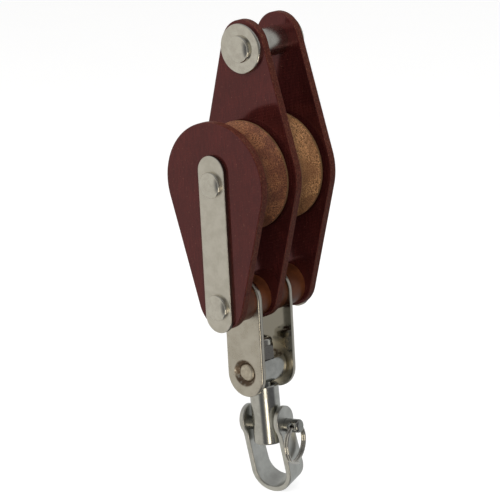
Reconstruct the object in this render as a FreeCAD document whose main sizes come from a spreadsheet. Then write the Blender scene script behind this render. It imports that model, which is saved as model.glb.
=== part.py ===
"""Double rope block with a becket and a swivelling shackle, as a parametric FreeCAD document.

Frame, in millimetres: the origin is the middle of the sheave axis, half-way through the centre
cheek. +Y runs along the sheave pin from the front cheek to the back cheek, +Z points up to the
becket, and the shackle hangs below. Every size comes from the spreadsheet called Sizes.
"""
import FreeCAD, Part
import math
import os
import re
import Sketcher

SIZES = [
    ("cheek_thickness", 3.8),       # laminated cheek plates
    ("cheek_gap", 18.5),            # clear space between two cheeks
    ("short_cheek_radius", 25.7),   # front cheek, round the sheave pin
    ("long_cheek_radius", 25.5),    # centre and back cheeks, round the sheave pin
    ("tail_radius", 11.9),          # lower end of every cheek
    ("tail_drop", 50.0),            # its centre, below the sheave pin
    ("crown_radius", 11.25),        # upper end of the long cheeks
    ("crown_rise", 53.4),           # its centre, above the sheave pin
    ("cheek_edge", 0.45),           # rounding of the cheeks' edges
    ("strap_radius", 7.0),          # half the width of an outer strap
    ("strap_thickness", 1.7),
    ("strap_rise", 5.2),            # centre of the strap's upper end
    ("strap_drop", 56.0),           # centre of its lower end
    ("strap_edge", 0.4),
    ("pin_radius", 4.0),            # shank of the three riveted pins
    ("rivet_radius", 5.5),          # riveted buttons on the straps
    ("rivet_rim", 0.9),             # height of a button at its rim
    ("rivet_brow", 0.6),            # rounding between a button's rim and its face
    ("rivet_dome", 11.5),           # radius of a button's domed face
    ("head_pin_drop", 52.0),
    ("becket_rise", 52.8),
    ("becket_rivet_radius", 5.75),
    ("washer_radius", 10.5),
    ("washer_thickness", 1.8),
    ("washer_edge", 0.7),
    ("spacer_radius", 6.0),         # tube that the becket rope goes round
    ("sheave_radius", 23.0),
    ("sheave_rim", 15.2),           # width over the rim
    ("sheave_hub", 18.2),           # width over the hub
    ("hub_radius", 9.5),
    ("groove_mouth", 12.8),         # width of the rope groove at the rim
    ("groove_radius", 7.1),
    ("sheave_edge", 0.5),
    ("running_gap", 0.05),          # radial clearance of turning parts
    ("bush_radius", 8.75),
    ("plate_radius", 9.6),          # half the width of a head plate
    ("plate_thickness", 2.2),
    ("plate_space", 18.0),          # between the two head plates
    ("plate_end_drop", 85.0),       # centre of a head plate's lower end
    ("plate_edge", 0.9),
    ("trunnion_drop", 84.1),
    ("trunnion_radius", 7.1),
    ("trunnion_length", 17.8),
    ("trunnion_edge", 1.5),
    ("trunnion_flat", 3.9),         # flat under the nut, above the trunnion's axis
    ("journal_radius", 4.0),        # trunnion's ends in the head plates
    ("countersink", 1.6),
    ("journal_inset", 0.7),         # the journals' ends lie this far inside the plates' faces
    ("journal_edge", 1.4),
    ("swivel_tilt", 3.0),           # degrees, shackle leaning to +X
    ("swivel_yaw", 8.0),            # degrees, shackle turned about its own axis
    ("stud_radius", 3.15),
    ("stud_rise", 14.0),            # end of the stud above the trunnion's axis
    ("nut_flats", 11.0),
    ("nut_height", 6.2),
    ("nut_turn", 11.0),             # degrees about the swivel's axis
    ("nut_bevel", 0.6),
    ("collar_radius", 5.3),         # round collar above the nut's hexagon
    ("collar_height", 3.0),
    ("collar_edge", 1.6),
    ("insert_radius", 4.1),         # nylon ring held in the collar
    ("insert_height", 1.8),
    ("insert_cover", 0.5),          # lip of the collar above the nylon ring
    ("barrel_radius", 6.25),
    ("barrel_top", 7.4),            # below the trunnion's axis
    ("barrel_bottom", 33.0),
    ("barrel_edge", 1.0),
    ("clevis_drop", 24.9),
    ("clevis_radius", 2.9),
    ("clevis_button_radius", 3.5),
    ("clevis_button_height", 1.6),
    ("clevis_reach", 16.8),         # free end of the clevis pin from the barrel's axis
    ("clevis_edge", 1.2),
    ("bow_gap", 7.4),               # inside of a bow arm from the barrel's axis
    ("bow_thickness", 2.3),
    ("bow_edge", 0.5),
    ("ear_radius", 6.45),
    ("ear_rise", 2.0),              # centre of an ear's round above the clevis pin
    ("arm_width", 10.4),            # below the ears
    ("foot_width", 12.0),           # at the bow's lowest point
    ("arm_blend", 6.0),
    ("bend_start", 20.4),           # below the clevis pin
    ("bow_swing", 13.5),            # degrees, bow leaning to +Y
    ("ring_offset", 13.4),          # split ring along the clevis pin
    ("ring_hole_radius", 1.8),
    ("ring_radius", 8.2),
    ("ring_yaw", 3.0),              # degrees about the vertical, loose in its hole
    ("wire_radius", 0.55),
    ("ring_pitch", 1.2),
    ("ring_turns", 2.0),
]

doc = FreeCAD.newDocument("RopeBlock")
sheet = doc.addObject("Spreadsheet::Sheet", "Sizes")
for row, (alias, number) in enumerate(SIZES, start=1):
    sheet.set(f"A{row}", alias)
    sheet.set(f"B{row}", str(number))
    sheet.setAlias(f"B{row}", alias)
doc.recompute()
ALIASES = {alias for alias, number in SIZES}

# Derived lengths, written in terms of the sheet's names.
HALF_CHEEK = "(cheek_thickness / 2)"
SIDE_FACE = "(cheek_thickness * 1.5 + cheek_gap)"
PLATE_FACE = "(plate_space / 2 + plate_thickness)"


def bound(text):
    """The same formula with every sheet name written the way an expression needs it."""
    return re.sub(r"[a-z_]+", lambda word: "Sizes." + word[0] if word[0] in ALIASES else word[0], text)


def value(text):
    """The number a formula gives."""
    return float(sheet.evalExpression(bound(text)))


def start_body(label):
    body = doc.addObject("PartDesign::Body", label)
    body.Label = label
    return body


def start_sketch(body, role, name):
    """A sketch on one of the body's own origin planes."""
    sketch = body.newObject("Sketcher::SketchObject", f"{body.Label}_{name}")
    plane = next(feature for feature in body.Origin.OriginFeatures if feature.Role == role)
    sketch.AttachmentSupport = (plane, [""])
    sketch.MapMode = "FlatFace"
    return sketch


def bind(sketch, constraint, formula):
    """Add a dimension and tie it to the sheet."""
    index = sketch.addConstraint(constraint)
    sketch.setExpression(f"Constraints[{index}]", bound(formula))


def place_point(sketch, geometry, position, x_formula, y_formula):
    """Tie a sketch point to two formulas, or to an axis where a formula is zero."""
    for kind, axis, formula in (("DistanceX", -2, x_formula), ("DistanceY", -1, y_formula)):
        size = value(formula)
        if abs(size) < 1e-9:
            sketch.addConstraint(Sketcher.Constraint("PointOnObject", geometry, position, axis))
        else:
            bind(sketch, Sketcher.Constraint(kind, -1, 1, geometry, position, size), formula)


def arc_between(start, end, radius, turn):
    """The short arc from start to end: turn is 1 with its centre to the left, -1 to the right."""
    chord = end - start
    middle = (start + end) * 0.5
    height = math.sqrt(max(radius ** 2 - (chord.Length / 2) ** 2, 0.0))
    left = FreeCAD.Vector(-chord.y, chord.x, 0).normalize()
    centre = middle + left * (height * turn)
    first = math.atan2(start.y - centre.y, start.x - centre.x)
    last = math.atan2(end.y - centre.y, end.x - centre.x)
    if turn < 0:
        first, last = last, first
    return Part.ArcOfCircle(Part.Circle(centre, FreeCAD.Vector(0, 0, 1), radius), first, last)


def outline(sketch, points, arcs=None):
    """A closed outline through points given as formulas; arcs maps a side to (radius, turn)."""
    arcs = arcs or {}
    places = [FreeCAD.Vector(value(x), value(y), 0) for x, y in points]
    sides = []
    for index, start in enumerate(places):
        end = places[(index + 1) % len(places)]
        if index in arcs:
            radius, turn = arcs[index]
            side = sketch.addGeometry(arc_between(start, end, value(radius), turn), False)
            begins = 1 if turn > 0 else 2
        else:
            side = sketch.addGeometry(Part.LineSegment(start, end), False)
            begins = 1
        sides.append((side, begins))
    for index, (side, begins) in enumerate(sides):
        following, following_begins = sides[(index + 1) % len(sides)]
        sketch.addConstraint(Sketcher.Constraint("Coincident", side, 3 - begins, following, following_begins))
        place_point(sketch, side, begins, *points[index])
        if index in arcs:
            radius = arcs[index][0]
            bind(sketch, Sketcher.Constraint("Radius", side, value(radius)), radius)


def circle(sketch, x_formula, y_formula, radius):
    centre = FreeCAD.Vector(value(x_formula), value(y_formula), 0)
    ring = sketch.addGeometry(Part.Circle(centre, FreeCAD.Vector(0, 0, 1), value(radius)), False)
    place_point(sketch, ring, 3, x_formula, y_formula)
    bind(sketch, Sketcher.Constraint("Radius", ring, value(radius)), radius)


def disc_outline(sketch, discs):
    """The outline round a column of discs, (height, radius) from the top down, with tangent sides."""
    heights = [value(height) for height, radius in discs]
    radii = [value(radius) for height, radius in discs]
    slopes = []
    for upper in range(len(discs) - 1):
        rise = (radii[upper + 1] - radii[upper]) / (heights[upper] - heights[upper + 1])
        slopes.append(math.asin(rise))
    last = len(discs) - 1
    arcs = []
    for index, (height, radius) in enumerate(zip(heights, radii)):
        base = Part.Circle(FreeCAD.Vector(0, height, 0), FreeCAD.Vector(0, 0, 1), radius)
        if index == 0:
            spans = [(slopes[0], math.pi - slopes[0])]
        elif index == last:
            spans = [(math.pi - slopes[-1], 2 * math.pi + slopes[-1])]
        else:
            spans = [
                (slopes[index], slopes[index - 1]),
                (math.pi - slopes[index - 1], math.pi - slopes[index]),
            ]
        made = [sketch.addGeometry(Part.ArcOfCircle(base, *span), False) for span in spans]
        for arc in made:
            place_point(sketch, arc, 3, "0", discs[index][0])
            bind(sketch, Sketcher.Constraint("Radius", arc, radius), discs[index][1])
        arcs.append(made)
    for upper in range(last):
        for side in (0, 1):
            turned = -1 if side else 1
            slope = slopes[upper]
            ends = []
            for index in (upper, upper + 1):
                reach = FreeCAD.Vector(turned * math.cos(slope), math.sin(slope), 0) * radii[index]
                ends.append(FreeCAD.Vector(0, heights[index], 0) + reach)
            line = sketch.addGeometry(Part.LineSegment(*ends), False)
            above = arcs[upper][side if 0 < upper else 0]
            below = arcs[upper + 1][side if upper + 1 < last else 0]
            above_end = 1 if side == 0 else 2
            below_end = 2 if side == 0 else 1
            sketch.addConstraint(Sketcher.Constraint("Tangent", line, 1, above, above_end))
            sketch.addConstraint(Sketcher.Constraint("Tangent", line, 2, below, below_end))


def pad(body, sketch, length):
    """Thicken a sketch equally to both sides of its plane."""
    feature = body.newObject("PartDesign::Pad", f"{body.Label}_pad")
    feature.Profile = sketch
    feature.SideType = "Symmetric"
    feature.setExpression("Length", bound(length))
    doc.recompute()
    return feature


def pocket(body, sketch, length, name):
    """Cut a sketch equally to both sides of its plane, and make sure that it cut."""
    before = body.Shape.Volume
    feature = body.newObject("PartDesign::Pocket", f"{body.Label}_{name}")
    feature.Profile = sketch
    feature.SideType = "Symmetric"
    feature.setExpression("Length", bound(length))
    doc.recompute()
    if body.Shape.Volume > before - 0.01:
        raise RuntimeError(f"{feature.Label} cut nothing")
    return feature


def revolve(body, sketch, axis):
    feature = body.newObject("PartDesign::Revolution", f"{body.Label}_turned")
    feature.Profile = sketch
    feature.ReferenceAxis = (sketch, [axis])
    feature.Angle = 360
    doc.recompute()
    return feature


def dress(body, kind, edges, size):
    """Fillet or chamfer the named edges of the body's last feature."""
    feature = body.newObject(f"PartDesign::{kind}", f"{body.Label}_{kind.lower()}")
    feature.Base = (feature.BaseFeature, edges)
    feature.setExpression("Radius" if kind == "Fillet" else "Size", bound(size))
    doc.recompute()
    return feature


def edges_where(body, test):
    """Names of the body's edges whose bounding box passes a test."""
    return [f"Edge{index}" for index, edge in enumerate(body.Shape.Edges, start=1) if test(edge)]


def face_rim(body, y_place, smallest):
    """Edges in the plane Y = y_place that belong to the outline, not to a hole."""
    def wanted(edge):
        box = edge.BoundBox
        flat = abs(box.YMin - y_place) < 1e-4 and abs(box.YMax - y_place) < 1e-4
        round_hole = edge.isClosed()
        return flat and not round_hole and edge.Length > smallest
    return edges_where(body, wanted)


def shift(body, x_formula="0", y_formula="0", z_formula="0", turned=False):
    """Place a body; turned swaps its two Y sides by half a turn about Z."""
    if turned:
        body.Placement = FreeCAD.Placement(FreeCAD.Vector(), FreeCAD.Rotation(FreeCAD.Vector(0, 0, 1), 180))
    for axis, formula in zip("xyz", (x_formula, y_formula, z_formula)):
        if value(formula):
            body.setExpression(f"Placement.Base.{axis}", bound(formula))


def flat_plate(label, discs, holes, thickness):
    """A plate in the XZ plane with round holes on its centre line."""
    body = start_body(label)
    sketch = start_sketch(body, "XZ_Plane", "outline")
    disc_outline(sketch, discs)
    for height, radius in holes:
        circle(sketch, "0", height, radius)
    pad(body, sketch, thickness)
    return body


# --- cheeks -------------------------------------------------------------------------------------

SHORT_CHEEK = [("0", "short_cheek_radius"), ("-tail_drop", "tail_radius")]
LONG_CHEEK = [("crown_rise", "crown_radius"), ("0", "long_cheek_radius"), ("-tail_drop", "tail_radius")]
PIN_HOLES = [("0", "pin_radius"), ("-head_pin_drop", "pin_radius")]
BECKET_HOLE = [("becket_rise", "pin_radius")]


def cheek(label, discs, holes, y_formula):
    body = flat_plate(label, discs, holes, "cheek_thickness")
    half = value(HALF_CHEEK)
    rims = face_rim(body, -half, 1.0) + face_rim(body, half, 1.0)
    dress(body, "Fillet", rims, "cheek_edge")
    shift(body, y_formula=y_formula)
    return body


cheek("front_cheek", SHORT_CHEEK, PIN_HOLES, "-(cheek_gap + cheek_thickness)")
cheek("centre_cheek", LONG_CHEEK, PIN_HOLES + BECKET_HOLE, "0")
cheek("back_cheek", LONG_CHEEK, PIN_HOLES + BECKET_HOLE, "cheek_gap + cheek_thickness")


# --- outer straps -------------------------------------------------------------------------------

def strap(label, turned):
    """A strip on a side cheek, rounded along the rim of its outer face, which is local +Y."""
    discs = [("strap_rise", "strap_radius"), ("-strap_drop", "strap_radius")]
    body = flat_plate(label, discs, PIN_HOLES, "strap_thickness")
    dress(body, "Fillet", face_rim(body, value("strap_thickness / 2"), 1.0), "strap_edge")
    place = f"{SIDE_FACE} + strap_thickness / 2"
    shift(body, y_formula=f"-({place})" if turned else place, turned=turned)


strap("front_strap", turned=True)
strap("back_strap", turned=False)


# --- riveted pins, washers, spacers and bushes --------------------------------------------------

def riveted_pin(label, half_length, button, y_formula, z_formula):
    """A shank with a domed button on each end, turned about Y."""
    body = start_body(label)
    sketch = start_sketch(body, "XY_Plane", "profile")
    shoulder = f"({half_length} + rivet_rim)"
    inset = f"({button} - rivet_brow)"
    brow = f"({half_length} + rivet_rim + rivet_brow)"
    rounding = "rivet_brow * 1.1"
    crest = f"({brow} + rivet_dome - sqrt(rivet_dome^2 - {inset}^2))"
    outline(
        sketch,
        [
            ("0", f"-{crest}"),
            (inset, f"-{brow}"),
            (button, f"-{shoulder}"),
            (button, f"-({half_length})"),
            ("pin_radius", f"-({half_length})"),
            ("pin_radius", half_length),
            (button, half_length),
            (button, shoulder),
            (inset, brow),
            ("0", crest),
        ],
        {0: ("rivet_dome", 1), 1: (rounding, 1), 7: (rounding, 1), 8: ("rivet_dome", 1)},
    )
    revolve(body, sketch, "V_Axis")
    shift(body, y_formula=y_formula, z_formula=z_formula)


STRAP_FACE = f"({SIDE_FACE} + strap_thickness)"
BECKET_HALF = "(cheek_gap / 2 + cheek_thickness + washer_thickness)"
BACK_GAP_CENTRE = "(cheek_gap + cheek_thickness) / 2"
riveted_pin("sheave_pin", STRAP_FACE, "rivet_radius", "0", "0")
riveted_pin("head_pin", STRAP_FACE, "rivet_radius", "0", "-head_pin_drop")
riveted_pin("becket_pin", BECKET_HALF, "becket_rivet_radius", BACK_GAP_CENTRE, "becket_rise")


def sleeve(label, radius, low, high, z_formula):
    """A plain tube on a pin, from Y = low to Y = high."""
    body = start_body(label)
    sketch = start_sketch(body, "XZ_Plane", "section")
    circle(sketch, "0", "0", radius)
    circle(sketch, "0", "0", "pin_radius")
    pad(body, sketch, f"({high}) - ({low})")
    shift(body, y_formula=f"(({low}) + ({high})) / 2", z_formula=z_formula)


INNER_FACE = HALF_CHEEK
OUTER_FACE = "(cheek_thickness / 2 + cheek_gap)"
sleeve("becket_spacer", "spacer_radius", INNER_FACE, OUTER_FACE, "becket_rise")
HEAD_PIN_HEIGHT = "-head_pin_drop"
sleeve("front_outer_bush", "bush_radius", f"-{OUTER_FACE}", f"-{PLATE_FACE}", HEAD_PIN_HEIGHT)
sleeve("front_inner_bush", "bush_radius", "-plate_space / 2", f"-{INNER_FACE}", HEAD_PIN_HEIGHT)
sleeve("back_inner_bush", "bush_radius", INNER_FACE, "plate_space / 2", HEAD_PIN_HEIGHT)
sleeve("back_outer_bush", "bush_radius", PLATE_FACE, OUTER_FACE, HEAD_PIN_HEIGHT)


def washer(label, y_formula, turned):
    """A washer with a rounded rim on its outer face, which is local +Y."""
    body = start_body(label)
    sketch = start_sketch(body, "XY_Plane", "profile")
    outline(
        sketch,
        [
            ("pin_radius", "0"),
            ("washer_radius", "0"),
            ("washer_radius", "washer_thickness - washer_edge"),
            ("washer_radius - washer_edge", "washer_thickness"),
            ("pin_radius", "washer_thickness"),
        ],
        {2: ("washer_edge", 1)},
    )
    revolve(body, sketch, "V_Axis")
    shift(body, y_formula=y_formula, z_formula="becket_rise", turned=turned)


washer("becket_washer_front", f"-{INNER_FACE}", turned=True)
washer("becket_washer_back", SIDE_FACE, turned=False)


# --- sheaves ------------------------------------------------------------------------------------

def sheave(label, y_formula):
    """A grooved wheel with a hub on each side and a plain bore, turned about Y."""
    body = start_body(label)
    sketch = start_sketch(body, "XY_Plane", "profile")
    outline(
        sketch,
        [
            ("pin_radius + running_gap", "-sheave_hub / 2"),
            ("hub_radius", "-sheave_hub / 2"),
            ("hub_radius", "-sheave_rim / 2"),
            ("sheave_radius - sheave_edge", "-sheave_rim / 2"),
            ("sheave_radius", "-(sheave_rim / 2 - sheave_edge)"),
            ("sheave_radius", "-groove_mouth / 2"),
            ("sheave_radius", "groove_mouth / 2"),
            ("sheave_radius", "sheave_rim / 2 - sheave_edge"),
            ("sheave_radius - sheave_edge", "sheave_rim / 2"),
            ("hub_radius", "sheave_rim / 2"),
            ("hub_radius", "sheave_hub / 2"),
            ("pin_radius + running_gap", "sheave_hub / 2"),
        ],
        {3: ("sheave_edge", 1), 5: ("groove_radius", -1), 7: ("sheave_edge", 1)},
    )
    revolve(body, sketch, "V_Axis")
    shift(body, y_formula=y_formula)


sheave("front_sheave", f"-{BACK_GAP_CENTRE}")
sheave("back_sheave", BACK_GAP_CENTRE)


# --- head plates and trunnion -------------------------------------------------------------------

def head_plate(label, turned):
    """A side plate of the head, with a countersunk trunnion hole in its outer face, local +Y."""
    discs = [("-head_pin_drop", "plate_radius"), ("-plate_end_drop", "plate_radius")]
    holes = [("-head_pin_drop", "pin_radius"), ("-trunnion_drop", "journal_radius + running_gap")]
    body = flat_plate(label, discs, holes, "plate_thickness")
    outer = value("plate_thickness / 2")
    dress(body, "Fillet", face_rim(body, outer, 1.0), "plate_edge")

    def trunnion_rim(edge):
        box = edge.BoundBox
        at_face = abs(box.YMin - outer) < 1e-4 and abs(box.YMax - outer) < 1e-4
        at_height = abs(box.Center.z + value("trunnion_drop")) < 1e-3
        return at_face and at_height and edge.isClosed()

    dress(body, "Chamfer", edges_where(body, trunnion_rim), "countersink")
    place = "(plate_space + plate_thickness) / 2"
    shift(body, y_formula=f"-{place}" if turned else place, turned=turned)


head_plate("front_head_plate", turned=True)
head_plate("back_head_plate", turned=False)

# Everything on the swivel leans by the same angle about the trunnion's axis.
SWIVEL_FRAME = "placement(vector(0; 0; -trunnion_drop); vector(0; 1; 0); -swivel_tilt)"
SHACKLE_FRAME = SWIVEL_FRAME + " * placement(vector(0; 0; 0); vector(0; 0; 1); swivel_yaw)"
CLEVIS_STEP = "vector(0; 0; -clevis_drop)"
NUT_STEP = "placement(vector(0; 0; trunnion_flat + nut_height / 2 + running_gap); vector(0; 0; 1); nut_turn)"


def trunnion():
    """The cross piece: turned about Y, flat under the nut, bored for the stud."""
    body = start_body("trunnion")
    sketch = start_sketch(body, "XY_Plane", "profile")
    half = "trunnion_length / 2"
    face = f"({PLATE_FACE} - journal_inset)"
    outline(
        sketch,
        [
            ("0", f"-{face}"),
            ("journal_radius - journal_edge", f"-{face}"),
            ("journal_radius", f"-({face} - journal_edge)"),
            ("journal_radius", f"-{half}"),
            ("trunnion_radius - trunnion_edge", f"-{half}"),
            ("trunnion_radius", f"-({half} - trunnion_edge)"),
            ("trunnion_radius", f"{half} - trunnion_edge"),
            ("trunnion_radius - trunnion_edge", half),
            ("journal_radius", half),
            ("journal_radius", f"{face} - journal_edge"),
            ("journal_radius - journal_edge", face),
            ("0", face),
        ],
        {1: ("journal_edge", 1), 4: ("trunnion_edge", 1), 6: ("trunnion_edge", 1), 9: ("journal_edge", 1)},
    )
    revolve(body, sketch, "V_Axis")
    above = "trunnion_radius + 1"
    slab = start_sketch(body, "XZ_Plane", "flat_outline")
    outline(
        slab,
        [
            (f"-({above})", "trunnion_flat"),
            (above, "trunnion_flat"),
            (above, above),
            (f"-({above})", above),
        ],
    )
    pocket(body, slab, "trunnion_length", "flat")
    bore = start_sketch(body, "XY_Plane", "bore_outline")
    circle(bore, "0", "0", "stud_radius + running_gap")
    pocket(body, bore, "trunnion_radius * 3", "bore")
    body.setExpression("Placement", bound(SWIVEL_FRAME))


trunnion()


# --- swivel -------------------------------------------------------------------------------------

def swivel_barrel():
    """The swivel in one piece: a threaded stud through the trunnion and a barrel for the clevis pin."""
    body = start_body("swivel_barrel")
    sketch = start_sketch(body, "XZ_Plane", "profile")
    outline(
        sketch,
        [
            ("0", "-barrel_bottom"),
            ("barrel_radius - barrel_edge", "-barrel_bottom"),
            ("barrel_radius", "-(barrel_bottom - barrel_edge)"),
            ("barrel_radius", "-(barrel_top + barrel_edge / 2)"),
            ("barrel_radius - barrel_edge / 2", "-barrel_top"),
            ("stud_radius", "-barrel_top"),
            ("stud_radius", "stud_rise - barrel_edge"),
            ("stud_radius - barrel_edge", "stud_rise"),
            ("0", "stud_rise"),
        ],
        {1: ("barrel_edge", 1)},
    )
    revolve(body, sketch, "V_Axis")
    bore = start_sketch(body, "YZ_Plane", "bore_outline")
    circle(bore, "0", "-clevis_drop", "clevis_radius + running_gap")
    pocket(body, bore, "barrel_radius * 3", "bore")
    body.setExpression("Placement", bound(SHACKLE_FRAME))


def swivel_nut():
    """A lock nut on the stud: a bevelled hexagon just clear of the trunnion's flat, and a round collar."""
    body = start_body("swivel_nut")
    sketch = start_sketch(body, "XY_Plane", "hexagon")
    corner = "(nut_flats / sqrt(3))"
    corners = [(f"{corner} * cos({60 * step})", f"{corner} * sin({60 * step})") for step in range(6)]
    outline(sketch, corners)
    circle(sketch, "0", "0", "stud_radius")
    pad(body, sketch, "nut_height")
    before = body.Shape.Volume
    bevel = start_sketch(body, "XZ_Plane", "bevel_outline")
    half = "nut_height / 2"
    inside = "nut_flats / 2 - 0.1"
    outside = "nut_flats / 2 + 0.9"
    for side in ("", "-"):
        outline(
            bevel,
            [
                (inside, f"{side}({half})"),
                (outside, f"{side}({half})"),
                (outside, f"{side}({half} - nut_bevel)"),
            ],
        )
    groove = body.newObject("PartDesign::Groove", "swivel_nut_bevel")
    groove.Profile = bevel
    groove.ReferenceAxis = (bevel, ["V_Axis"])
    groove.Angle = 360
    doc.recompute()
    if body.Shape.Volume > before - 0.01:
        raise RuntimeError("the nut's bevels cut nothing")
    profile = start_sketch(body, "XZ_Plane", "collar_outline")
    top = f"({half} + collar_height)"
    seat = f"({top} - insert_cover - insert_height)"
    outline(
        profile,
        [
            ("stud_radius", f"{half} - 1"),
            ("collar_radius", f"{half} - 1"),
            ("collar_radius", f"{top} - collar_edge"),
            ("collar_radius - collar_edge", top),
            ("stud_radius + 0.3", top),
            ("stud_radius + 0.3", f"{top} - insert_cover"),
            ("insert_radius", f"{top} - insert_cover"),
            ("insert_radius", seat),
            ("stud_radius", seat),
        ],
        {2: ("collar_edge", 1)},
    )
    revolve(body, profile, "V_Axis")
    body.setExpression("Placement", bound(f"{SWIVEL_FRAME} * {NUT_STEP}"))


def nut_insert():
    """The nylon ring in the nut's collar, gripping the stud."""
    body = start_body("nut_insert")
    sketch = start_sketch(body, "XZ_Plane", "profile")
    top = "(nut_height / 2 + collar_height - insert_cover)"
    outline(
        sketch,
        [
            ("stud_radius", f"{top} - insert_height"),
            ("insert_radius", f"{top} - insert_height"),
            ("insert_radius", top),
            ("stud_radius", top),
        ],
    )
    revolve(body, sketch, "V_Axis")
    body.setExpression("Placement", bound(f"{SWIVEL_FRAME} * {NUT_STEP}"))


swivel_barrel()
swivel_nut()
nut_insert()


# --- shackle bow, clevis pin and split ring -----------------------------------------------------

def shackle_bow():
    """A strip bent into a U, with round ears on the clevis pin. Its origin is on the pin's axis."""
    body = start_body("shackle_bow")
    side_view = start_sketch(body, "XZ_Plane", "side_outline")
    inside = "bow_gap"
    outside = "bow_gap + bow_thickness"
    top = "ear_rise + ear_radius"
    outline(
        side_view,
        [
            (f"-({outside})", top),
            (f"-({outside})", "-bend_start"),
            ("0", f"-(bend_start + {outside})"),
            (outside, "-bend_start"),
            (outside, top),
            (inside, top),
            (inside, "-bend_start"),
            ("0", f"-(bend_start + {inside})"),
            (f"-{inside}", "-bend_start"),
            (f"-{inside}", top),
        ],
        {1: (outside, 1), 2: (outside, 1), 6: (inside, -1), 7: (inside, -1)},
    )
    pad(body, side_view, "ear_radius * 2")
    front_view = start_sketch(body, "YZ_Plane", "front_outline")
    half = "arm_width / 2"
    foot = "foot_width / 2"
    reach = "(arm_width / 2 + arm_blend)"
    drop = f"sqrt((ear_radius + arm_blend)^2 - {reach}^2)"
    share = "ear_radius / (ear_radius + arm_blend)"
    below = f"(bend_start + {outside})"
    frame_side = "(ear_radius + 2)"
    outline(
        front_view,
        [
            (f"-{foot}", f"-({below} + 1)"),
            (foot, f"-({below} + 1)"),
            (half, f"ear_rise - {drop}"),
            (f"{reach} * {share}", f"ear_rise - {drop} * {share}"),
            ("0", top),
            (f"-{reach} * {share}", f"ear_rise - {drop} * {share}"),
            (f"-{half}", f"ear_rise - {drop}"),
        ],
        {2: ("arm_blend", -1), 3: ("ear_radius", 1), 4: ("ear_radius", 1), 5: ("arm_blend", -1)},
    )
    outline(
        front_view,
        [
            (f"-{frame_side}", f"-({below} + 3)"),
            (frame_side, f"-({below} + 3)"),
            (frame_side, f"{top} + 2"),
            (f"-{frame_side}", f"{top} + 2"),
        ],
    )
    pocket(body, front_view, "bow_gap * 4", "silhouette")
    dress(body, "Fillet", edges_where(body, lambda edge: edge.Length > 3.5), "bow_edge")
    bore = start_sketch(body, "YZ_Plane", "bore_outline")
    circle(bore, "0", "0", "clevis_radius + running_gap")
    pocket(body, bore, "bow_gap * 4", "bore")
    step = f"placement({CLEVIS_STEP}; vector(1; 0; 0); bow_swing)"
    body.setExpression("Placement", bound(f"{SHACKLE_FRAME} * {step}"))


def clevis_pin():
    """A plain pin with a low button on one end and a cross hole near the other, turned about X."""
    body = start_body("clevis_pin")
    sketch = start_sketch(body, "XY_Plane", "profile")
    seat = "(bow_gap + bow_thickness + running_gap)"
    outline(
        sketch,
        [
            (f"-({seat} + clevis_button_height)", "0"),
            ("clevis_reach", "0"),
            ("clevis_reach", "clevis_radius - clevis_edge"),
            ("clevis_reach - clevis_edge", "clevis_radius"),
            (f"-{seat}", "clevis_radius"),
            (f"-{seat}", "clevis_button_radius"),
            (f"-({seat} + clevis_button_height * 0.3)", "clevis_button_radius"),
            (f"-({seat} + clevis_button_height)", "clevis_radius"),
        ],
        {2: ("clevis_edge", 1), 6: ("clevis_edge * 1.2", 1)},
    )
    revolve(body, sketch, "H_Axis")
    bore = start_sketch(body, "XZ_Plane", "bore_outline")
    circle(bore, "ring_offset", "0", "ring_hole_radius")
    pocket(body, bore, "clevis_radius * 3", "bore")
    step = f"placement({CLEVIS_STEP}; vector(1; 0; 0); 0)"
    body.setExpression("Placement", bound(f"{SHACKLE_FRAME} * {step}"))


def split_ring():
    """Two close turns of wire through the clevis pin's cross hole, hanging from it."""
    body = start_body("split_ring")
    sketch = start_sketch(body, "XZ_Plane", "wire_section")
    circle(sketch, "-ring_pitch * ring_turns / 2", "-ring_radius", "wire_radius")
    doc.recompute()
    coil = body.newObject("PartDesign::AdditiveHelix", "split_ring_coil")
    coil.Profile = sketch
    coil.ReferenceAxis = (sketch, ["H_Axis"])
    coil.Mode = "pitch-turns-angle"
    coil.setExpression("Pitch", bound("ring_pitch"))
    coil.setExpression("Turns", bound("ring_turns"))
    doc.recompute()
    # The wire curves inside the hole, so its middle stands above the hole's axis by half the curve's rise.
    rise = "(ring_radius - sqrt(ring_radius^2 - clevis_radius^2)) / 2"
    hole = "placement(vector(ring_offset; 0; -clevis_drop); vector(0; 0; 1); -swivel_yaw)"
    plumb = "placement(vector(0; 0; 0); vector(0; 1; 0); swivel_tilt)"
    hang = f"placement(vector(0; 0; {rise} - ring_radius); vector(0; 0; 1); swivel_yaw + ring_yaw)"
    body.setExpression("Placement", bound(f"{SHACKLE_FRAME} * {hole} * {plumb} * {hang}"))


shackle_bow()
clevis_pin()
split_ring()


# --- checks and files ---------------------------------------------------------------------------

doc.recompute()
for item in doc.Objects:
    if {"Invalid", "Error"} & set(item.State):
        raise RuntimeError(f"{item.Label} failed: {item.State}")

os.makedirs("parts", exist_ok=True)
for body in doc.findObjects("PartDesign::Body"):
    shape = body.Shape
    if shape.isNull() or not shape.isValid() or len(shape.Solids) != 1:
        raise RuntimeError(f"{body.Label} has no single valid solid")
    shape.exportStep(os.path.join("parts", f"{body.Label}.step"))
    box = shape.BoundBox
    extent = f"x {box.XMin:.1f} {box.XMax:.1f}  y {box.YMin:.1f} {box.YMax:.1f}  z {box.ZMin:.1f} {box.ZMax:.1f}"
    print(f"{body.Label:22s} {shape.Volume:10.1f} mm3  {extent}")
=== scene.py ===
"""Looks of the double rope block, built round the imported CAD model. Lengths are in metres."""
import math

import bmesh
import bpy
from mathutils import Matrix, Vector


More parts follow.
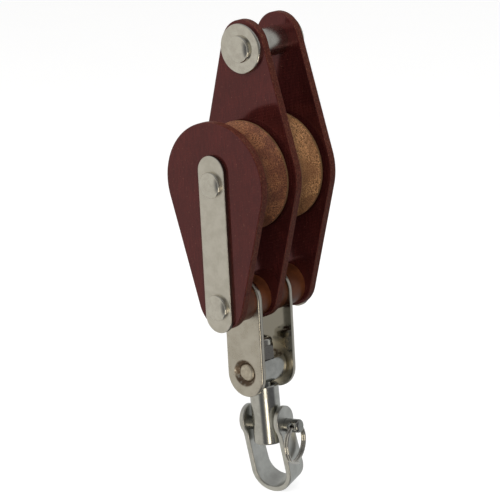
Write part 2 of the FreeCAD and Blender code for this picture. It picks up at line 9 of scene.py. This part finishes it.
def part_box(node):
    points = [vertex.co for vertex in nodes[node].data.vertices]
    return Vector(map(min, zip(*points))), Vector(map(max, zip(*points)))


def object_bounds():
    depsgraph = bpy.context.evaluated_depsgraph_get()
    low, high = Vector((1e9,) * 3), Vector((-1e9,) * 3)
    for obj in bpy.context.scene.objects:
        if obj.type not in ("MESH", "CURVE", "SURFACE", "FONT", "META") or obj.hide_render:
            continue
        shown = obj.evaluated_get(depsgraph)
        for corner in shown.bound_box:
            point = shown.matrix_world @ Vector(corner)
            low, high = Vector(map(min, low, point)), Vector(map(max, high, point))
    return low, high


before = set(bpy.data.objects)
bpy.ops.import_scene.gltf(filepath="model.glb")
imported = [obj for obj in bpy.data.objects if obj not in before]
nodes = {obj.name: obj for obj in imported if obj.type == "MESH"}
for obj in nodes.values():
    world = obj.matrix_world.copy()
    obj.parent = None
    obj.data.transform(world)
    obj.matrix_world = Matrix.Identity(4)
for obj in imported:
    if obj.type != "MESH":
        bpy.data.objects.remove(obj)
cad_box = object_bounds()
MM = 0.001
TRUNNION_AXIS = -84.1 * MM      # height of the holes through the head plates
GROOVE_EDGE = 6.3 * MM          # where a sheave's groove meets its rim, from the sheave's middle


def middle(name):
    """Centre of a CAD node's box."""
    low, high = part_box(name)
    return (low + high) / 2


# --- camera -------------------------------------------------------------------------------------

def add_camera(azimuth, elevation, roll, distance, target, lens):
    """A camera that looks at the target; azimuth 0 looks along +Y."""
    a, e = math.radians(azimuth), math.radians(elevation)
    away = Vector((math.sin(a) * math.cos(e), -math.cos(a) * math.cos(e), math.sin(e)))
    right = Vector((math.cos(a), math.sin(a), 0))
    up = away.cross(right)
    turn = Matrix((right, up, away)).transposed() @ Matrix.Rotation(math.radians(roll), 3, "Z")
    data = bpy.data.cameras.new("camera")
    data.lens = lens
    data.sensor_width = 36
    data.clip_start = 0.01
    data.clip_end = 50
    camera = bpy.data.objects.new("camera", data)
    camera.matrix_world = Matrix.Translation(Vector(target) + away * distance) @ turn.to_4x4()
    bpy.context.scene.collection.objects.link(camera)
    bpy.context.scene.camera = camera


add_camera(40.97, 13.80, -3.05, 1.173, (-0.00326, 0, -0.0335), 201.2)


# --- materials ----------------------------------------------------------------------------------

def srgb(red, green, blue):
    """A colour given as 0 to 255 screen values, as linear RGBA."""
    def linear(level):
        level /= 255
        return level / 12.92 if level <= 0.04045 else ((level + 0.055) / 1.055) ** 2.4
    return (linear(red), linear(green), linear(blue), 1)


class Nodes:
    """Short calls that add nodes to one shader tree."""

    def __init__(self, tree, coordinate):
        self.tree = tree
        place = tree.nodes.new("ShaderNodeTexCoord")
        self.place = place.outputs[coordinate]
        self.normal = place.outputs["Normal"]

    def node(self, kind, sockets, result=0, **settings):
        """Add a node; each socket gets a number, or a link from another node."""
        made = self.tree.nodes.new("ShaderNode" + kind)
        for name, choice in settings.items():
            setattr(made, name, choice)
        for key, source in sockets.items():
            if isinstance(source, bpy.types.NodeSocket):
                self.tree.links.new(source, made.inputs[key])
            else:
                made.inputs[key].default_value = source
        return made.outputs[result]

    def noise(self, size, detail=3.0, roughness=0.55, stretch=(1, 1, 1)):
        """Noise with grains of about the given size in millimetres, longer along stretched axes."""
        scale = tuple(1 / (size * MM * s) for s in stretch)
        vector = self.node("Mapping", {"Vector": self.place, "Scale": scale})
        sockets = {"Vector": vector, "Scale": 1.0, "Detail": detail, "Roughness": roughness}
        return self.node("TexNoise", sockets)

    def ramp(self, source, low, high):
        """source mapped to 0..1 between low and high, smoothly and clamped."""
        sockets = {"Value": source, "From Min": low, "From Max": high}
        return self.node("MapRange", sockets, interpolation_type="SMOOTHSTEP")

    def spread(self, source, low, high, first, last):
        """source mapped linearly from low..high to first..last."""
        sockets = {"Value": source, "From Min": low, "From Max": high, "To Min": first, "To Max": last}
        return self.node("MapRange", sockets)

    def math(self, operation, first, second=0.0):
        return self.node("Math", {0: first, 1: second}, operation=operation)

    def mix(self, factor, first, second, blend="MIX"):
        sockets = {"Factor": factor, 6: first, 7: second}
        return self.node("Mix", sockets, result=2, data_type="RGBA", blend_type=blend)

    def axis(self, vector, name):
        return self.node("SeparateXYZ", {"Vector": vector}, result=name)

    def waves(self, source, pitch):
        """Even ridges of the given pitch in millimetres along a coordinate, 0..1."""
        phase = self.math("MULTIPLY", source, 2 * math.pi / (pitch * MM))
        return self.spread(self.math("SINE", phase), -1.0, 1.0, 0.0, 1.0)

    def radius(self, centre):
        """Distance from a line along Y through the centre."""
        moved = self.node("Mapping", {"Vector": self.place, "Location": (-centre[0], 0.0, -centre[2])})
        flat = self.node("VectorMath", {0: moved, 1: (1.0, 0.0, 1.0)}, operation="MULTIPLY")
        return self.node("VectorMath", {0: flat}, result="Value", operation="LENGTH")

    def bump(self, height, depth, strength=1.0, under=None):
        """Relief of the given depth in millimetres."""
        sockets = {"Height": height, "Distance": depth * MM, "Strength": strength}
        if under is not None:
            sockets["Normal"] = under
        return self.node("Bump", sockets)


class Finish(Nodes):
    """One Principled material."""

    def __init__(self, name, **constants):
        self.material = bpy.data.materials.new(name)
        self.material.use_nodes = True
        super().__init__(self.material.node_tree, "Object")
        self.shader = self.tree.nodes["Principled BSDF"]
        for socket, number in constants.items():
            self.shader.inputs[socket.replace("_", " ")].default_value = number

    def set(self, socket, source):
        self.tree.links.new(source, self.shader.inputs[socket])

    def dress(self, slot, *names):
        """Give the material to CAD nodes; the slot argument is not used."""
        for name in names:
            nodes[name].data.materials.clear()
            nodes[name].data.materials.append(self.material)


def cheek_laminate():
    """Dark maroon cloth laminate: glossy faces over a fine weave, and sawn edges that show the layers."""
    f = Finish("cheek_laminate", Specular_Tint=(1, 0.4, 0.42, 1))
    side = f.math("ABSOLUTE", f.axis(f.normal, "Y"))
    edge = f.ramp(side, 0.85, 0.55)
    clouds = f.noise(14, detail=4)
    streaks = f.noise(0.5, detail=3, stretch=(1, 1, 9))
    fibres = f.noise(0.7, detail=4, roughness=0.75)
    warp = f.waves(f.axis(f.place, "X"), 0.62)
    weft = f.waves(f.axis(f.place, "Z"), 0.62)
    weave = f.math("MULTIPLY", warp, weft)
    face = f.mix(f.ramp(clouds, 0.35, 0.65), srgb(46, 17, 16), srgb(57, 21, 19))
    face = f.mix(f.spread(streaks, 0.38, 0.62, 0.0, 0.7), face, srgb(30, 10, 10))
    face = f.mix(f.math("MULTIPLY", weave, 0.3), face, srgb(84, 36, 30))
    specks = f.ramp(f.noise(0.5, detail=2, roughness=0.6), 0.69, 0.75)
    face = f.mix(f.math("MULTIPLY", specks, 0.25), face, srgb(180, 140, 112))
    layers = f.waves(f.axis(f.place, "Y"), 0.42)
    core = f.mix(f.ramp(fibres, 0.4, 0.6), srgb(62, 26, 20), srgb(98, 52, 40))
    core = f.mix(f.math("MULTIPLY", layers, 0.3), core, srgb(48, 19, 15))
    threads = f.ramp(f.noise(0.4, detail=2), 0.62, 0.70)
    core = f.mix(f.math("MULTIPLY", threads, 0.45), core, srgb(176, 138, 108))
    f.set("Base Color", f.mix(edge, face, core))
    gloss = f.spread(f.math("ADD", weave, fibres), 0.3, 1.4, 1.0, 0.72)
    f.set("Specular IOR Level", f.math("MULTIPLY", gloss, f.spread(edge, 0.0, 1.0, 1.0, 0.15)))
    f.set("Roughness", f.math("ADD", f.spread(clouds, 0.3, 0.7, 0.09, 0.13), f.math("MULTIPLY", edge, 0.4)))
    relief = f.bump(f.math("ADD", weave, streaks), 0.005, 0.5)
    f.set("Normal", f.bump(f.math("MULTIPLY", f.math("ADD", fibres, layers), edge), 0.05, 0.6, relief))
    f.dress("cheek_laminate", "front_cheek", "centre_cheek", "back_cheek")


def sheave_laminate(name, node, light, dark, stain):
    """Turned cloth laminate: speckled by the cut threads, with its layers showing as rings."""
    f = Finish(name, Specular_IOR_Level=0.3)
    across = f.math("ABSOLUTE", f.math("SUBTRACT", f.axis(f.place, "Y"), middle(node).y))
    speckle = f.noise(0.45, detail=5, roughness=0.85)
    threads = f.noise(0.8, detail=2, stretch=(1, 0.4, 1))
    clouds = f.noise(9, detail=3)
    layers = f.waves(across, 0.5)
    colour = f.mix(f.ramp(speckle, 0.43, 0.57), dark, light)
    colour = f.mix(f.math("MULTIPLY", f.ramp(threads, 0.45, 0.65), 0.5), colour, dark)
    colour = f.mix(f.math("MULTIPLY", f.ramp(clouds, 0.42, 0.62), 0.65), colour, stain)
    colour = f.mix(f.math("MULTIPLY", layers, 0.15), colour, dark)
    land = f.ramp(across, GROOVE_EDGE, GROOVE_EDGE + 0.15 * MM)
    rim = f.mix(f.waves(across, 0.5), srgb(32, 21, 17), srgb(142, 110, 74))
    f.set("Base Color", f.mix(f.math("MULTIPLY", land, 0.8), colour, rim))
    f.set("Roughness", f.spread(speckle, 0.3, 0.7, 0.7, 0.55))
    f.set("Normal", f.bump(f.math("ADD", speckle, f.math("MULTIPLY", layers, 0.4)), 0.08, 0.8))
    f.dress("sheave_laminate", node)


def bush_laminate():
    """Smooth turned laminate of an orange brown."""
    f = Finish("bush_laminate", Specular_IOR_Level=0.25, Coat_Weight=0.15, Coat_Roughness=0.25)
    clouds = f.noise(6, detail=3)
    fibres = f.noise(0.4, detail=3, roughness=0.7)
    rings = f.waves(f.axis(f.place, "Y"), 0.4)
    colour = f.mix(f.ramp(clouds, 0.35, 0.65), srgb(84, 45, 25), srgb(104, 58, 31))
    colour = f.mix(f.spread(fibres, 0.35, 0.65, 0.0, 0.4), colour, srgb(68, 34, 22))
    f.set("Base Color", f.mix(f.math("MULTIPLY", rings, 0.12), colour, srgb(74, 38, 26)))
    f.set("Roughness", f.spread(fibres, 0.3, 0.7, 0.38, 0.5))
    f.set("Normal", f.bump(f.math("ADD", fibres, rings), 0.012, 0.5))
    f.dress("bush_laminate", "front_outer_bush", "front_inner_bush", "back_inner_bush", "back_outer_bush")


def strap_steel():
    """Rolled stainless strip, rubbed along its length, with faint blotches and scratches; its cut sides are
    darkened as painted shade.
    """
    f = Finish("strap_steel", Metallic=1.0)
    side = f.ramp(f.math("ABSOLUTE", f.axis(f.normal, "Y")), 0.6, 0.3)
    grain = f.noise(0.16, detail=3, stretch=(1, 1, 40))
    blotch = f.noise(5, detail=5, roughness=0.65)
    scratch = f.ramp(f.noise(0.35, detail=1, stretch=(1, 1, 26)), 0.70, 0.76)
    colour = f.mix(f.ramp(blotch, 0.35, 0.65), srgb(204, 200, 190), srgb(218, 214, 205))
    colour = f.mix(f.math("MULTIPLY", scratch, 0.4), colour, srgb(230, 226, 217))
    # painted shade: the strip's sides, picked out by side, get the dark colour srgb(92, 84, 78)
    f.set("Base Color", f.mix(f.math("MULTIPLY", side, 0.8), colour, srgb(92, 84, 78)))
    rough = f.spread(blotch, 0.35, 0.65, 0.26, 0.35)
    f.set("Roughness", f.math("ADD", rough, f.math("MULTIPLY", grain, 0.06)))
    f.set("Normal", f.bump(f.math("SUBTRACT", grain, f.math("MULTIPLY", scratch, 0.5)), 0.004, 0.6))
    f.dress("brushed_steel", "front_strap", "back_strap")


def plate_steel():
    """The head plates: brushed outside with rusty countersinks, polished inside with a darker colour there as
    painted shade, and a pale patch round the trunnion as painted highlight.
    """
    f = Finish("plate_steel", Metallic=1.0)
    grain = f.noise(0.16, detail=3, stretch=(1, 1, 40))
    blotch = f.noise(5, detail=5, roughness=0.65)
    outside = f.ramp(f.math("ABSOLUTE", f.axis(f.place, "Y")), 9.1 * MM, 9.9 * MM)
    colour = f.mix(f.ramp(blotch, 0.35, 0.65), srgb(190, 184, 172), srgb(204, 199, 188))
    # painted shade: the inside faces get the darker colour srgb(152, 148, 138)
    colour = f.mix(outside, srgb(152, 148, 138), colour)
    hole = f.radius((0, 0, TRUNNION_AXIS))
    stain = f.math("MULTIPLY", f.ramp(hole, 6.3 * MM, 5.2 * MM), f.ramp(f.noise(1.6, detail=4), 0.25, 0.55))
    # painted highlight: a pale, rougher patch on the inside faces round the trunnion hole
    painted_highlight = f.math("MULTIPLY", f.ramp(hole, 11 * MM, 8 * MM), f.spread(outside, 0.0, 1.0, 1.0, 0.0))
    colour = f.mix(painted_highlight, colour, srgb(204, 196, 178))
    f.set("Base Color", f.mix(f.math("MULTIPLY", stain, 0.85), colour, srgb(112, 88, 68)))
    rough = f.math("ADD", f.spread(blotch, 0.35, 0.65, 0.06, 0.12), f.math("MULTIPLY", outside, 0.2))
    f.set("Roughness", f.math("ADD", rough, f.math("MULTIPLY", f.math("ADD", stain, painted_highlight), 0.3)))
    f.set("Normal", f.bump(f.math("MULTIPLY", grain, outside), 0.003, 0.5))
    f.dress("brushed_steel", "front_head_plate", "back_head_plate")


def turned_steel(name, slot, along, rough, colours, *names):
    """Turned or drawn stainless: fine marks round the axis, small scratches and dull patches."""
    f = Finish(name, Metallic=1.0)
    stretch = tuple(1 if axis == along else 24 for axis in "XYZ")
    marks = f.noise(0.14, detail=3, stretch=stretch)
    patches = f.noise(3.5, detail=5, roughness=0.6)
    nicks = f.ramp(f.noise(0.8, detail=2), 0.72, 0.78)
    colour = f.mix(f.ramp(patches, 0.35, 0.65), *colours)
    f.set("Base Color", f.mix(f.math("MULTIPLY", nicks, 0.35), colour, srgb(110, 104, 96)))
    f.set("Roughness", f.spread(patches, 0.3, 0.7, rough - 0.03, rough + 0.05))
    f.set("Normal", f.bump(f.math("SUBTRACT", marks, nicks), 0.003, 0.5))
    f.dress(slot, *names)


def trunnion_steel():
    """Turned bar, bright along its length and dull and stained on its riveted ends."""
    f = Finish("trunnion_steel", Metallic=1.0)
    low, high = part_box("trunnion")
    from_middle = f.math("ABSOLUTE", f.math("SUBTRACT", f.axis(f.place, "Y"), middle("trunnion").y))
    reach = (high.y - low.y) / 2
    end = f.ramp(from_middle, reach - 1.6 * MM, reach - 0.9 * MM)
    patches = f.noise(3.5, detail=5, roughness=0.6)
    hammered = f.noise(1.4, detail=3)
    bar = f.mix(f.ramp(patches, 0.35, 0.65), srgb(186, 186, 182), srgb(172, 172, 168))
    rivet = f.mix(f.ramp(hammered, 0.35, 0.65), srgb(214, 206, 190), srgb(190, 180, 164))
    f.set("Base Color", f.mix(end, bar, rivet))
    f.set("Roughness", f.math("ADD", f.spread(patches, 0.3, 0.7, 0.16, 0.22), f.math("MULTIPLY", end, 0.22)))
    f.set("Normal", f.bump(f.math("MULTIPLY", hammered, end), 0.12, 0.5))
    f.dress("polished_steel", "trunnion")


def insert_nylon():
    """Cloudy white nylon of the lock nut's ring."""
    f = Finish("insert_nylon", Specular_IOR_Level=0.4)
    f.set("Base Color", f.mix(f.noise(0.8, detail=3), srgb(196, 190, 176), srgb(216, 212, 200)))
    f.set("Roughness", f.spread(f.noise(0.3), 0.3, 0.7, 0.4, 0.55))
    f.set("Normal", f.bump(f.noise(0.25, detail=2), 0.01, 0.4))
    f.dress("nylon", "nut_insert")


cheek_laminate()
sheave_laminate("sheave_back", "back_sheave", srgb(204, 150, 100), srgb(56, 34, 22), srgb(112, 74, 48))
# the front sheave gets a darker, redder copy of the same laminate; its darkness is painted shade
sheave_laminate("sheave_front", "front_sheave", srgb(164, 108, 72), srgb(42, 22, 17), srgb(78, 40, 30))
bush_laminate()
strap_steel()
plate_steel()
trunnion_steel()
insert_nylon()
# two tones of steel each, from light to dark
BRIGHTEST = (srgb(224, 221, 214), srgb(210, 207, 200))
PALE = (srgb(216, 213, 204), srgb(205, 201, 192))
SILVER = (srgb(208, 208, 203), srgb(195, 195, 190))
BRIGHT = (srgb(204, 200, 192), srgb(192, 188, 180))
MIDDLE = (srgb(200, 200, 195), srgb(187, 187, 182))
# the next tones are a darker copy of the same steel, used for the clevis pin: painted shade
PAINTED_SHADE_GREY = (srgb(166, 166, 162), srgb(150, 150, 146))
turned_steel("pin_steel", "brushed_steel", "Y", 0.16, PALE, "sheave_pin", "head_pin", "becket_pin",
             "becket_washer_front", "becket_washer_back")
turned_steel("spacer_steel", "polished_steel", "Y", 0.25, BRIGHT, "becket_spacer")
turned_steel("barrel_steel", "polished_steel", "Z", 0.20, MIDDLE, "swivel_barrel")
turned_steel("nut_steel", "polished_steel", "Z", 0.24, PALE, "swivel_nut")
turned_steel("bow_steel", "brushed_steel", "Z", 0.30, SILVER, "shackle_bow")
# the clevis pin's darker steel tones are painted shade
turned_steel("clevis_steel", "polished_steel", "X", 0.18, PAINTED_SHADE_GREY, "clevis_pin")
turned_steel("ring_steel", "polished_steel", "X", 0.11, BRIGHTEST, "split_ring")


# --- stage --------------------------------------------------------------------------------------

FLOOR_REACH = 6     # half width of the floor
DOME_RADIUS = 8


def toward(azimuth, elevation):
    """Unit vector from the object toward an angle; azimuth 0 is -Y and 90 is +X."""
    a, e = math.radians(azimuth), math.radians(elevation)
    return Vector((math.sin(a) * math.cos(e), -math.cos(a) * math.cos(e), math.sin(e)))


def only_seen(piece):
    """Keep a stage piece out of reflections and bounced light."""
    piece.visible_glossy = False
    piece.visible_diffuse = False
    piece.visible_transmission = False
    piece.visible_shadow = False
    bpy.context.scene.collection.objects.link(piece)


def add_floor(height):
    """A plain pale sweep: a matt floor and a far dome of the same white."""
    finish = Finish("floor", Roughness=0.9, Specular_IOR_Level=0.1)
    mottle = finish.noise(60, detail=3)
    finish.set("Base Color", finish.mix(mottle, srgb(150, 150, 150), srgb(154, 154, 154)))
    finish.shader.inputs["Emission Color"].default_value = (1, 1, 1, 1)
    finish.shader.inputs["Emission Strength"].default_value = 0.8
    corners = [(x * FLOOR_REACH, y * FLOOR_REACH, height) for x, y in ((-1, -1), (1, -1), (1, 1), (-1, 1))]
    mesh = bpy.data.meshes.new("floor")
    mesh.from_pydata(corners, [], [(0, 1, 2, 3)])
    mesh.materials.append(finish.material)
    only_seen(bpy.data.objects.new("floor", mesh))
    glow = Finish("backdrop", Roughness=1.0)
    glow.shader.inputs["Base Color"].default_value = (0, 0, 0, 1)
    glow.shader.inputs["Emission Color"].default_value = (1, 1, 1, 1)
    glow.shader.inputs["Emission Strength"].default_value = 1.0
    shape = bmesh.new()
    bmesh.ops.create_uvsphere(shape, u_segments=48, v_segments=24, radius=DOME_RADIUS)
    mesh = bpy.data.meshes.new("backdrop")
    shape.to_mesh(mesh)
    shape.free()
    mesh.materials.append(glow.material)
    only_seen(bpy.data.objects.new("backdrop", mesh))


def add_light(name, azimuth, elevation, distance, size, watts, colour=(1, 1, 1), mirrored=False):
    """A soft light at an angle round the object, aimed at its middle; the metal shows it only if mirrored."""
    away = toward(azimuth, elevation)
    data = bpy.data.lights.new(name, "AREA")
    data.shape = "RECTANGLE"
    data.size, data.size_y = size
    data.energy = watts
    data.color = colour
    light = bpy.data.objects.new(name, data)
    light.rotation_euler = away.to_track_quat("Z", "Y").to_euler()
    light.location = (cad_box[0] + cad_box[1]) / 2 + away * distance
    light.visible_camera = False
    light.visible_glossy = mirrored
    bpy.context.scene.collection.objects.link(light)


def add_room():
    """Light from all round: pale to the left and behind, dark to the right with one dim patch."""
    world = bpy.data.worlds.new("studio")
    world.use_nodes = True
    room = Nodes(world.node_tree, "Generated")

    def facing(azimuth, low, high):
        across = room.node("VectorMath", {0: room.place, 1: (1, 1, 0)}, operation="MULTIPLY")
        across = room.node("VectorMath", {0: across}, operation="NORMALIZE")
        aim = tuple(toward(azimuth, 0))
        amount = room.node("VectorMath", {0: across, 1: aim}, result="Value", operation="DOT_PRODUCT")
        return room.ramp(amount, low, high)

    height = room.axis(room.place, "Z")
    colour = room.mix(facing(-50, 0.0, 0.8), (0.48, 0.49, 0.49, 1), (0.62, 0.60, 0.55, 1))
    colour = room.mix(facing(60, 0.30, 0.58), colour, (0.12, 0.12, 0.125, 1))
    colour = room.mix(room.ramp(height, 0.55, 0.9), colour, (0.34, 0.34, 0.34, 1))
    level = room.ramp(room.math("ABSOLUTE", height), 0.75, 0.45)
    patch = room.math("MULTIPLY", facing(42, 0.965, 0.992), level)
    colour = room.mix(patch, colour, (0.42, 0.40, 0.35, 1))
    room.tree.links.new(colour, room.tree.nodes["Background"].inputs["Color"])
    bpy.context.scene.world = world


add_floor(cad_box[0].z)
add_room()
add_light("front_left_softbox", -38, 30, 1.2, (0.9, 0.9), 9, (1.0, 0.99, 0.97))
add_light("front_right_softbox", 40, 38, 1.2, (0.6, 0.6), 9.3)
add_light("overhead_softbox", 150, 75, 1.4, (1.0, 1.0), 3)
add_light("low_strip", 48, -30, 0.5, (0.13, 0.28), 0.38, (1.0, 0.9, 0.73), mirrored=True)
bpy.context.scene.view_settings.view_transform = "Standard"
